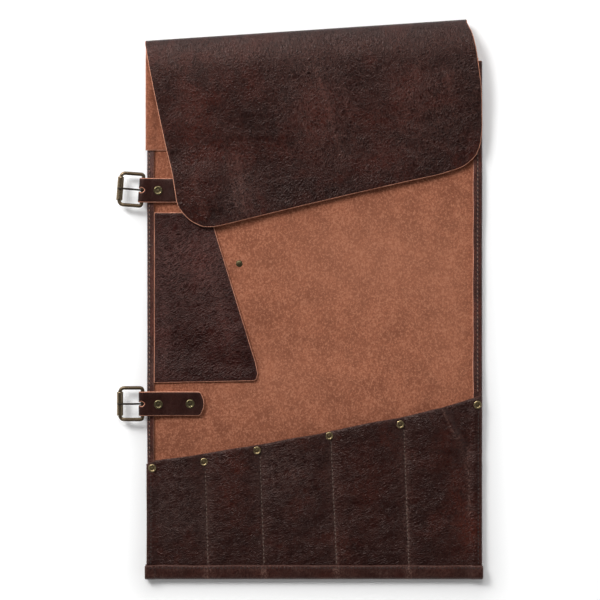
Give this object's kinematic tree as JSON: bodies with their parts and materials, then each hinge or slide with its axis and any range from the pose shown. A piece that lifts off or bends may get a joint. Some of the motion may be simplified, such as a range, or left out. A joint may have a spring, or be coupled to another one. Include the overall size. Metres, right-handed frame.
{
  "type": "leather brush roll case",
  "caption": "Leather roll case lying open, with stitched and riveted brush pockets, a folded top flap, an inner side flap and roller-buckle straps for closing the rolled bundle.",
  "frame": {"origin": "centre of the bounding box, at the bottom face", "axes": "+Y from the pocket end to the flap end, +Z out of the inside face, +X away from the buckles"},
  "size_m": [0.3008, 0.4584, 0.013],
  "materials": {
    "body_leather": "brown pebbled grain outside, tan suede inside, thin raw tan edges",
    "panel_leather": "dark red-brown pebbled grain with a soft satin sheen",
    "strap_leather": "dark red-brown grain with tan raw edges",
    "antique_brass": "darkened antique brass, brighter on worn edges"
  },
  "bodies": {
    "strip_1": {"back_panel_1": "body_leather", "pocket_front_1": "panel_leather", "bottom_binding_1": "strap_leather", "flap_back_1": "panel_leather", "billet_straps_1": "strap_leather", "pocket_rivets_1": "antique_brass", "upper_buckle_strap": "strap_leather", "lower_buckle_strap": "strap_leather", "strap_rivets": "antique_brass"},
    "strip_2": {"back_panel_2": "body_leather", "pocket_front_2": "panel_leather", "bottom_binding_2": "strap_leather", "flap_back_2": "panel_leather", "billet_straps_2": "strap_leather", "pocket_rivets_2": "antique_brass", "carry_loop": "strap_leather", "carry_loop_rivets": "antique_brass"},
    "strip_3": {"back_panel_3": "body_leather", "pocket_front_3": "panel_leather", "bottom_binding_3": "strap_leather", "flap_back_3": "panel_leather", "billet_straps_3": "strap_leather", "pocket_rivets_3": "antique_brass"},
    "strip_4": {"back_panel_4": "body_leather", "pocket_front_4": "panel_leather", "bottom_binding_4": "strap_leather", "flap_back_4": "panel_leather", "billet_straps_4": "strap_leather", "pocket_rivets_4": "antique_brass"},
    "strip_5": {"back_panel_5": "body_leather", "pocket_front_5": "panel_leather", "bottom_binding_5": "strap_leather", "flap_back_5": "panel_leather", "billet_straps_5": "strap_leather", "pocket_rivets_5": "antique_brass"},
    "flap_1": {"flap_front_1": "panel_leather"},
    "flap_2": {"flap_front_2": "panel_leather"},
    "flap_3": {"flap_front_3": "panel_leather"},
    "flap_4": {"flap_front_4": "panel_leather"},
    "flap_5": {"flap_front_5": "panel_leather"},
    "side_flap_a": {"side_flap_a": "panel_leather"},
    "side_flap_b": {"side_flap_b": "panel_leather"},
    "upper_buckle": {"upper_buckle_frame": "antique_brass"},
    "upper_roller": {"upper_roller": "antique_brass"},
    "upper_prong": {"upper_prong": "antique_brass"},
    "lower_buckle": {"lower_buckle_frame": "antique_brass"},
    "lower_roller": {"lower_roller": "antique_brass"},
    "lower_prong": {"lower_prong": "antique_brass"}
  },
  "joints": [
    {"name": "roll_up", "type": "hinge", "parent": "strip_1", "child": "strip_2", "pos_m": [-0.0746, 0.0001, 0.0066], "axis": [0, -1, 0], "range_deg": [0, 57]},
    {"name": "roll_up_2", "type": "hinge", "parent": "strip_2", "child": "strip_3", "pos_m": [-0.031, 0.0001, 0.0066], "axis": [0, -1, 0], "range_deg": [0, 62.05]},
    {"name": "roll_up_3", "type": "hinge", "parent": "strip_3", "child": "strip_4", "pos_m": [0.0286, 0.0001, 0.0066], "axis": [0, -1, 0], "range_deg": [0, 80.55]},
    {"name": "roll_up_4", "type": "hinge", "parent": "strip_4", "child": "strip_5", "pos_m": [0.0871, 0.0001, 0.0066], "axis": [0, -1, 0], "range_deg": [0, 86.05]},
    {"name": "flap_open", "type": "hinge", "parent": "strip_1", "child": "flap_1", "pos_m": [-0.0994, 0.2106, 0.0095], "axis": [0.9978, 0.0664, 0], "range_deg": [-178, 0]},
    {"name": "flap_open_2", "type": "hinge", "parent": "strip_2", "child": "flap_2", "pos_m": [-0.0524, 0.21372, 0.0095], "axis": [0.9978, 0.0664, 0], "range_deg": [-178, 0]},
    {"name": "flap_open_3", "type": "hinge", "parent": "strip_3", "child": "flap_3", "pos_m": [-0.0014, 0.21711, 0.0095], "axis": [0.9978, 0.0664, 0], "range_deg": [-178, 0]},
    {"name": "flap_open_4", "type": "hinge", "parent": "strip_4", "child": "flap_4", "pos_m": [0.0576, 0.22104, 0.0095], "axis": [0.9978, 0.0664, 0], "range_deg": [-178, 0]},
    {"name": "flap_open_5", "type": "hinge", "parent": "strip_5", "child": "flap_5", "pos_m": [0.1126, 0.2247, 0.0095], "axis": [0.9978, 0.0664, 0], "range_deg": [-178, 0]},
    {"name": "side_flap_open", "type": "hinge", "parent": "strip_1", "child": "side_flap_a", "pos_m": [-0.1189, 0.0021, 0.0074], "axis": [0, 1, 0], "range_deg": [-175, 0]},
    {"name": "side_flap_bend", "type": "hinge", "parent": "side_flap_a", "child": "side_flap_b", "pos_m": [-0.0746, 0.0021, 0.0066], "axis": [0, -1, 0], "range_deg": [0, 57]},
    {"name": "upper_buckle_swing", "type": "hinge", "parent": "strip_1", "child": "upper_buckle", "pos_m": [-0.1287, 0.0899, 0.0082], "axis": [0.0785, 0.9969, 0], "range_deg": [-60, 15]},
    {"name": "upper_prong_swing", "type": "hinge", "parent": "upper_buckle", "child": "upper_prong", "pos_m": [-0.1287, 0.0899, 0.0082], "axis": [0.0785, 0.9969, 0], "range_deg": [0, 65]},
    {"name": "upper_roller_spin", "type": "hinge", "parent": "upper_buckle", "child": "upper_roller", "pos_m": [-0.14704, 0.09134, 0.0082], "axis": [0.0785, 0.9969, 0], "continuous": true},
    {"name": "lower_buckle_swing", "type": "hinge", "parent": "strip_1", "child": "lower_buckle", "pos_m": [-0.1287, -0.0848, 0.0082], "axis": [0, 1, 0], "range_deg": [-60, 15]},
    {"name": "lower_prong_swing", "type": "hinge", "parent": "lower_buckle", "child": "lower_prong", "pos_m": [-0.1287, -0.0848, 0.0082], "axis": [0, 1, 0], "range_deg": [0, 65]},
    {"name": "lower_roller_spin", "type": "hinge", "parent": "lower_buckle", "child": "lower_roller", "pos_m": [-0.1471, -0.0848, 0.0082], "axis": [0, 1, 0], "continuous": true}
  ],
  "couplings": [
    {"joint": "roll_up_2", "follows": "roll_up", "ratio": 1.0877},
    {"joint": "roll_up_3", "follows": "roll_up", "ratio": 1.4123},
    {"joint": "roll_up_4", "follows": "roll_up", "ratio": 1.5088},
    {"joint": "flap_open_2", "follows": "flap_open", "ratio": 1},
    {"joint": "flap_open_3", "follows": "flap_open", "ratio": 1},
    {"joint": "flap_open_4", "follows": "flap_open", "ratio": 1},
    {"joint": "flap_open_5", "follows": "flap_open", "ratio": 1},
    {"joint": "side_flap_bend", "follows": "roll_up", "ratio": 1}
  ]
}
